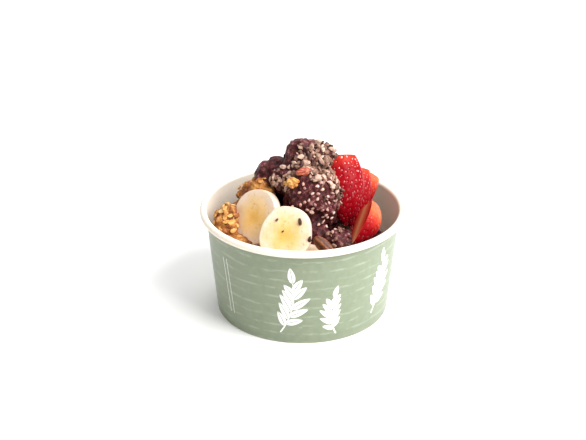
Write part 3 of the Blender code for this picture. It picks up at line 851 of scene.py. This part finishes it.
pack = settle(
    added(
        bpy.ops.mesh.primitive_cylinder_add,
        vertices=ROOM_STEPS,
        radius=RIM_RADIUS,
        depth=PACK_LEVEL,
        location=(0, 0, PACK_LEVEL / 2),
    )
)
scoops = [lump("scoop", *scoop) for scoop in SCOOPS]
sorbet = joined([pack, *scoops], "acai_sorbet_heap")
fuse(sorbet, SORBET_VOXEL)
soften = sorbet.modifiers.new("soften", "SMOOTH")
soften.iterations = 13
relief(sorbet, "CLOUDS", 9, 5.0)
relief(sorbet, "VORONOI", 8, 1.6)
fuse(sorbet, SORBET_VOXEL)
relief(sorbet, "CLOUDS", 5, 2.6, noise_depth=1)
relief(sorbet, "CLOUDS", 2.0, 0.8, noise_depth=1)
settle(sorbet)
room = room_in_bowl(0.15 * MM)
carve(sorbet, room, "INTERSECT")
for fruit in bananas + berries + [goji, small_cluster, pecan]:
    carve(sorbet, fruit, gap=SOCKET_GAP)
sorbet = drop_scraps(sorbet)
sorbet.name = "acai_sorbet_heap"
levelled = twin(sorbet, "levelled")
soften = levelled.modifiers.new("soften", "SMOOTH")
soften.iterations = 10
settle(levelled)
# How far each point stands out of the smoothed surface; the material paints the crests light and the hollows dark.
pairs = zip(sorbet.data.vertices, levelled.data.vertices)
crests = [(here.co - there.co).dot(here.normal) / (0.5 * MM) for here, there in pairs]
bpy.data.objects.remove(levelled)
remember(sorbet, "crest", crests)

# Acai sorbet: near-black purple ice, wet in the hollows, with fine ice grain. Its crests are painted pale pink,
# partly frost and partly painted highlight, and its hollows darker, which is painted shade.
acai_ice, node, wire = new_material(
    "frosted_acai_sorbet",
    IOR=1.33,
    Specular_IOR_Level=0.3,
    Subsurface_Weight=0.06,
    Subsurface_Scale=1.5 * MM,
    Subsurface_Radius=(1.0, 0.35, 0.45),
)
coords = node("TexCoord").outputs["Object"]
crest = node("Attribute", attribute_name="crest").outputs["Fac"]
ice = node("TexNoise", {"Scale": per(1.0), "Detail": 6.0, "Roughness": 0.72}, {"Vector": coords})
patches = node("TexNoise", {"Scale": per(8), "Detail": 2.0}, {"Vector": coords})
# Painted light: the crests are painted pale, partly frost and partly painted highlight, and the hollows near-black as
# painted shade.
crest_painted_light = node("MapRange", {"From Min": -0.9, "From Max": 1.0, "To Min": 0.0, "To Max": 0.46}, {"Value": crest})
grainy = node("Math", {1: 0.75}, {0: ice}, operation="MULTIPLY")
sum_one = node("Math", links={0: crest_painted_light, 1: grainy}, operation="ADD")
patchy = node("Math", {1: 0.35}, {0: patches}, operation="MULTIPLY")
frost_and_painted_light = node("Math", links={0: sum_one, 1: patchy}, operation="ADD")
tint = node(
    "ValToRGB",
    links={"Fac": frost_and_painted_light},
    stops=[(0.50, "#190708"), (0.66, "#2d0e10"), (0.80, "#4a1c1d"), (0.91, "#704040"), (1.0, "#a8827e")],
)
wet = node("MapRange", {"From Min": 0.5, "From Max": 0.95, "To Min": 0.28, "To Max": 0.62}, {"Value": frost_and_painted_light})
ice_bump = node("Bump", {"Strength": 0.45, "Distance": 0.3 * MM}, {"Height": ice})
wire(Base_Color=tint, Roughness=wet, Normal=ice_bump)
hand_over(sorbet, ["acai"], "acai_sorbet", acai_ice, angle=80)


# The granola
# A heap of baked oat clusters at the left, between the bowl's wall and the banana. Rolled oats stick to rough
# clumps, toasted unevenly; the heap is painted lighter towards its top, which is painted light from above.

GRANOLA_BED = [
    ((-41, -5, 51), (7.5, 11, 11)),
    ((-26, 8, 59), (10, 10, 13)),
    ((-31, 4, 50), (10, 11, 11)),
    ((-36, -19, 43), (12, 12, 8)),
    ((-24, 1, 67), (6.5, 6, 8.5)),
]
CLUMPS, CLUMP_SPACING = 60, 3.6 * MM
OATS, OAT_SPACING = 110, 1.8 * MM
GRANOLA_TOP = 78 * MM


def surface_tree(obj):
    """The object's surface, for finding the nearest point of it or where a ray meets it."""
    return BVHTree.FromObject(obj, bpy.context.evaluated_depsgraph_get())


bed = [lump("granola_clumps", *part, detail=3) for part in GRANOLA_BED]
heap = joined(bed, "granola_clumps")
fuse(heap, 0.9)
relief(heap, "CLOUDS", 6, 2.5)
settle(heap)
ground = surface_tree(heap)
heap_draw = random.Random(4)
middle = Vector((-30, -2, 50)) * MM
clump_spots, oat_spots = [], []
while len(clump_spots) < CLUMPS or len(oat_spots) < OATS:
    aim = Vector((heap_draw.uniform(-1, 0.8), heap_draw.uniform(-1, 1), heap_draw.uniform(-0.1, 1))).normalized()
    place, normal, _, _ = ground.ray_cast(middle + aim * 0.1, -aim)
    if place is None:
        continue
    if len(clump_spots) < CLUMPS:
        if all((place - old[0]).length > CLUMP_SPACING for old in clump_spots):
            clump_spots.append((place, normal))
    elif all((place - old[0]).length > OAT_SPACING for old in oat_spots):
        oat_spots.append((place, normal))
clumps = []
for place, _ in clump_spots:
    size = heap_draw.uniform(1.6, 3.2)
    clumps.append(lump("clump", place / MM, (size, size * 0.85, size * 0.75), 2))
joined([heap, *clumps], "granola_clumps")
fuse(heap, 0.55)
relief(heap, "CLOUDS", 2.2, 1.6)
relief(heap, "VORONOI", 1.4, 1.2)
settle(heap)
for other in bananas:
    carve(heap, other, gap=0.10 * MM)
carve(heap, sorbet)
carve(heap, room, "INTERSECT")
heap = drop_scraps(heap)
heap.name = "granola_clumps"
# Lighter the higher it lies, which is painted light from above; the noise is the clusters' own uneven toasting.
heap_tones_and_painted_light = [0.35 + 0.25 * noise.noise(p.co / (4 * MM)) + 0.012 * (p.co.z / MM - 58) for p in heap.data.vertices]
remember(heap, "shade", heap_tones_and_painted_light)
hand_over(heap, ["granola"], "baked_oats", baked_oats, angle=80)


def stands_clear(points, trees, gap):
    """Whether all of the points stand off from the other pieces."""
    for tree in trees:
        for point in points:
            near, normal, _, far = tree.find_nearest(point)
            if far < gap or ((point - near).dot(normal) < 0 and far < 6 * MM):
                return False
    return True


def scattered(name, masters, stands, shades):
    """One piece of many small ones: a copy of a master for each stand, joined, with its own shade."""
    copies = []
    for n, (stand, tone) in enumerate(zip(stands, shades)):
        made = twin(masters[n % len(masters)], name)
        made.matrix_world = stand
        remember(made, "shade", tone)
        copies.append(made)
    return settle(joined(copies, name))


def lying_on(place, normal, draw, tip):
    """A stand for a small piece that lies on a surface, turned at random and tipped by up to that angle."""
    return (
        Matrix.Translation(place)
        @ normal.to_track_quat("Z", "Y").to_matrix().to_4x4()
        @ Matrix.Rotation(draw.uniform(0, math.tau), 4, "Z")
        @ Matrix.Rotation(draw.uniform(-tip, tip), 4, "X")
    )


# Rolled oats: steamed and flattened grains, thin, slightly cupped, split along the crease.
oat_masters = []
for n in range(3):
    oat = added(bpy.ops.mesh.primitive_uv_sphere_add, segments=14, ring_count=7, radius=1)
    for point in oat.data.vertices:
        x, y, z = point.co
        ragged = 1 + 0.10 * noise.noise(Vector((2 * x, 2 * y, 9 * n)))
        crease = -0.5 * math.exp(-((y / 0.14) ** 2)) * max(0, z)
        point.co = Vector((x * ragged, y * ragged, 0.9 * z + 0.9 * x * x - 0.4 * y * y + crease))
    oat_masters.append(oat)
stands, tones = [], []
bowl_room = surface_tree(bowl)
banana_room = [surface_tree(o) for o in bananas]
for place, normal in oat_spots:
    size = heap_draw.uniform(1.5, 2.3)
    lift = heap_draw.uniform(0.3, 1.5) * MM
    stand = lying_on(place + normal * lift, normal, heap_draw, 0.9)
    stand = stand @ Matrix.Diagonal((size * MM, size * 0.68 * MM, 0.42 * MM, 1))
    corners = [stand @ p.co for p in oat_masters[0].data.vertices]
    if stands_clear(corners, [bowl_room, *banana_room], SOCKET_GAP) and max(c.z for c in corners) < GRANOLA_TOP:
        stands.append(stand)
        tones.append(heap_draw.uniform(0.15, 0.75))
oats = scattered("granola_oats", oat_masters, stands, tones)
for master in oat_masters:
    bpy.data.objects.remove(master)
hand_over(oats, [], "baked_oats", baked_oats, angle=80)


# The cacao nibs
# Cracked roasted cacao beans, strewn over the top and the right of the sorbet: angular shards 2 to 4 mm long, dark
# brown outside and paler, dusty and pinkish where they are broken.

# (zone centre, spread, count, nib length), in millimetres
NIB_ZONES = [
    ((12, -2, 95), 9, 56, 4.0),
    ((17, -4, 88), 8, 40, 3.8),
    ((5, -6, 91), 8, 32, 3.8),
    ((21, -9, 76), 5, 20, 3.4),
    ((-9, -5, 82), 7, 20, 3.6),
    ((-14, -2, 75), 5, 8, 3.4),
    ((13, -22, 70), 8, 6, 2.8),
    ((18, -24, 60), 7, 8, 3.2),
    ((22, -36, 54), 6, 10, 3.2),
]
# (place, length) in millimetres of the few that fell on the front banana slice
STRAY_NIBS = [
    ((-1.1, -33.4, 66.7), 4.6),
    ((-13.8, -30.7, 66.8), 1.9),
    ((-10.5, -34.4, 61.7), 1.5),
    ((3.6, -38.4, 59.2), 3.6),
]
NIB_SPACING = 1.7 * MM
FOOD_TOP = 98.0 * MM
CLEARANCE = 0.05 * MM
nib_draw = random.Random(11)


def nib_stand(place, normal, length):
    """A nib half sunk in the sorbet and tipped at random, or nothing where the surface faces down."""
    if normal.z < -0.25:
        return None
    half = length / 2 * nib_draw.uniform(0.6, 1.35) * MM
    stand = lying_on(place + normal * half * 0.35, normal, nib_draw, 1.2)
    size = (half * 1.25, half * nib_draw.uniform(0.55, 1.0), half * nib_draw.uniform(0.4, 0.7), 1)
    return stand @ Matrix.Diagonal(size)


def strew(zones, draw, masters, spacing, stand_at, stands, tones):
    """Strews small pieces on the sorbet: so many round each zone's centre, apart from one another and clear of the
    other toppings. Each one's stand and tone go into the two lists."""
    placed = []
    for centre, spread, count, *length in zones:
        made = 0
        for _ in range(count * 40):
            if made == count:
                break
            reach = Vector(draw.gauss(0, spread / 2) for _ in range(3))
            place, normal, _, _ = ground.find_nearest((Vector(centre) + reach) * MM)
            if any((place - old).length < spacing for old in placed):
                continue
            stand = stand_at(place, normal, *length)
            if stand is None:
                continue
            corners = [stand @ p.co for p in masters[len(stands) % len(masters)].data.vertices]
            if max(c.z for c in corners) > FOOD_TOP or not stands_clear(corners, fruit_room, CLEARANCE):
                continue
            stands.append(stand)
            tones.append(draw.random())
            placed.append(place)
            made += 1


nib_masters = []
for n in range(5):
    nib_masters.append(added(bpy.ops.mesh.primitive_ico_sphere_add, subdivisions=2, radius=1))
    bpy.ops.object.mode_set(mode="EDIT")
    for _ in range(7):
        bpy.ops.mesh.select_all(action="SELECT")
        away = Vector(nib_draw.gauss(0, 1) for _ in range(3)).normalized()
        bpy.ops.mesh.bisect(
            plane_co=away * nib_draw.uniform(0.42, 0.75), plane_no=away, use_fill=True, clear_outer=True
        )
    bpy.ops.mesh.select_all(action="SELECT")
    bpy.ops.mesh.remove_doubles(threshold=0.08)
    bpy.ops.mesh.normals_make_consistent(inside=False)
    bpy.ops.object.mode_set(mode="OBJECT")
ground = surface_tree(sorbet)
fruit_room = [surface_tree(o) for o in bananas + berries[1:] + [goji, small_cluster, pecan, heap]]
stands, tones = [], []
slice_face = surface_tree(bananas[1])
for spot, length in STRAY_NIBS:
    place, normal, _, _ = slice_face.find_nearest(Vector(spot) * MM)
    size = Vector((0.34, 0.24, 0.6)) * length * MM
    up = Matrix.Rotation(math.radians(25 * length), 3, normal) @ Vector((1, 0, 0))
    stands.append(upright_frame(place + normal * 0.7 * size.y, up, normal) @ Matrix.Diagonal((*size, 1)))
    tones.append(0.02)
strew(NIB_ZONES, nib_draw, nib_masters, NIB_SPACING, nib_stand, stands, tones)
nibs = scattered("cacao_nibs", nib_masters, stands, tones)
for master in nib_masters:
    bpy.data.objects.remove(master)

# Roasted cacao nib: brittle and waxy, dark on the bran side, pinkish tan and dusty on the cracks.
nib_break, node, wire = new_material("roasted_cacao_nib", IOR=1.46)
shade = node("Attribute", attribute_name="shade").outputs["Fac"]
coords = node("TexCoord").outputs["Object"]
faces = node("TexNoise", {"Scale": per(1.8), "Detail": 3.0, "Roughness": 0.6}, {"Vector": coords})
half_shade = node("Math", {1: 0.55}, {0: shade}, operation="MULTIPLY")
total = node("Math", links={0: half_shade, 1: faces}, operation="ADD")
tint = node(
    "ValToRGB",
    links={"Fac": total},
    stops=[(0.38, "#22110c"), (0.54, "#47291f"), (0.70, "#785343"), (0.86, "#a07c69"), (1.0, "#c8a693")],
)
dull = node("MapRange", {"To Min": 0.35, "To Max": 0.7}, {"Value": faces})
cracks = node("Bump", {"Strength": 0.8, "Distance": 0.4 * MM}, {"Height": faces})
wire(Base_Color=tint, Roughness=dull, Normal=cracks)
hand_over(nibs, [], "acai_sorbet", nib_break, angle=25)


# The hemp hearts
# Hulled hemp seeds sprinkled over the front of the sorbet: soft cream drops 2.3 mm long, tinted pink by the ice.

# (zone centre, spread in millimetres, count)
HEMP_ZONES = [
    ((5, -18, 76), 11, 22),
    ((17, -23, 63), 5, 13),
    ((3, -14, 90), 8, 4),
    ((24, -6, 78), 7, 4),
]
HEART_HALF_SIZE = Vector((1.15, 0.78, 0.55)) * MM
HEART_SPACING = 2.4 * MM
hemp_draw = random.Random(8)
heart = added(bpy.ops.mesh.primitive_uv_sphere_add, segments=10, ring_count=7, radius=1)
for point in heart.data.vertices:
    point.co.y *= 1 - 0.35 * point.co.x
    point.co.z *= 1 - 0.35 * point.co.x


def heart_stand(place, normal):
    """A hemp heart that lies on the front of the sorbet, or nothing where the surface faces back."""
    if normal.y > 0.3:
        return None
    return lying_on(place + normal * 0.35 * MM, normal, hemp_draw, 0.4) @ Matrix.Diagonal((*HEART_HALF_SIZE, 1))


stands, tones = [], []
strew(HEMP_ZONES, hemp_draw, [heart], HEART_SPACING, heart_stand, stands, tones)
hearts = scattered("hemp_hearts", [heart], stands, tones)
bpy.data.objects.remove(heart)

# Hemp heart: oily and soft, cream with a rosy stain from the thawing ice.
hemp_flesh, node, wire = new_material(
    "hulled_hemp_heart", Roughness=0.45, IOR=1.47, Subsurface_Weight=0.2, Subsurface_Scale=0.8 * MM
)
shade = node("Attribute", attribute_name="shade").outputs["Fac"]
coords = node("TexCoord").outputs["Object"]
stain = node("TexNoise", {"Scale": per(1.5), "Detail": 2.0}, {"Vector": coords})
mixed = node("Math", links={0: shade, 1: stain}, operation="MULTIPLY")
tint = node("ValToRGB", links={"Fac": mixed}, stops=[(0.0, "#9c6c68"), (0.25, "#c79c90"), (0.6, "#e6cdbd")])
wire(Base_Color=tint)
hand_over(hearts, [], "acai_sorbet", hemp_flesh, angle=80)
bpy.data.objects.remove(room)


# The studio
# A white table and a white surround, a large soft light from the right and the front, and the camera at the
# photograph's viewing angle.

table = added(bpy.ops.mesh.primitive_plane_add, size=6)
table.name = "studio_table"
table_top, _, _ = new_material("white_table", Roughness=0.6, Base_Color=linear("#fbfbfa"))
table.data.materials.append(table_top)

surround = bpy.data.worlds.new("white_surround")
surround.use_nodes = True
surround.node_tree.nodes["Background"].inputs["Color"].default_value = linear("#ffffff")
surround.node_tree.nodes["Background"].inputs["Strength"].default_value = 0.54
bpy.context.scene.world = surround

# (place, target, width in metres, power in watts)
LIGHTS = [
    ((0.72, -0.42, 0.86), (0, 0, 0.05), 0.90, 26.0),
    ((0.25, 0.65, 0.60), (0, 0, 0.05), 0.60, 2.5),
    ((-0.10, 0.10, 1.20), (0, 0, 0.05), 1.00, 3.0),
]
for n, (place, target, width, power) in enumerate(LIGHTS):
    lamp = added(bpy.ops.object.light_add, type="AREA", location=place)
    lamp.name = f"soft_light_{n + 1}"
    lamp.data.size = width
    lamp.data.energy = power
    lamp.rotation_euler = (Vector(target) - Vector(place)).to_track_quat("-Z", "Y").to_euler()

# In metres, from the rim's and the foot's ellipses in the photograph.
CAMERA_PLACE = Vector((0, -0.78471, 0.44072))
CAMERA_AIM = Vector((-0.006118, 0.895881, -0.444252))
FOCAL_LENGTH, SENSOR_WIDTH = 95.96, 36
camera = added(bpy.ops.object.camera_add, location=CAMERA_PLACE)
camera.name = "photo_camera"
camera.data.sensor_width = SENSOR_WIDTH
camera.data.lens = FOCAL_LENGTH
camera.data.clip_start = 0.01
camera.rotation_euler = CAMERA_AIM.to_track_quat("-Z", "Y").to_euler()
bpy.context.scene.camera = camera
bpy.context.scene.view_settings.view_transform = "Standard"
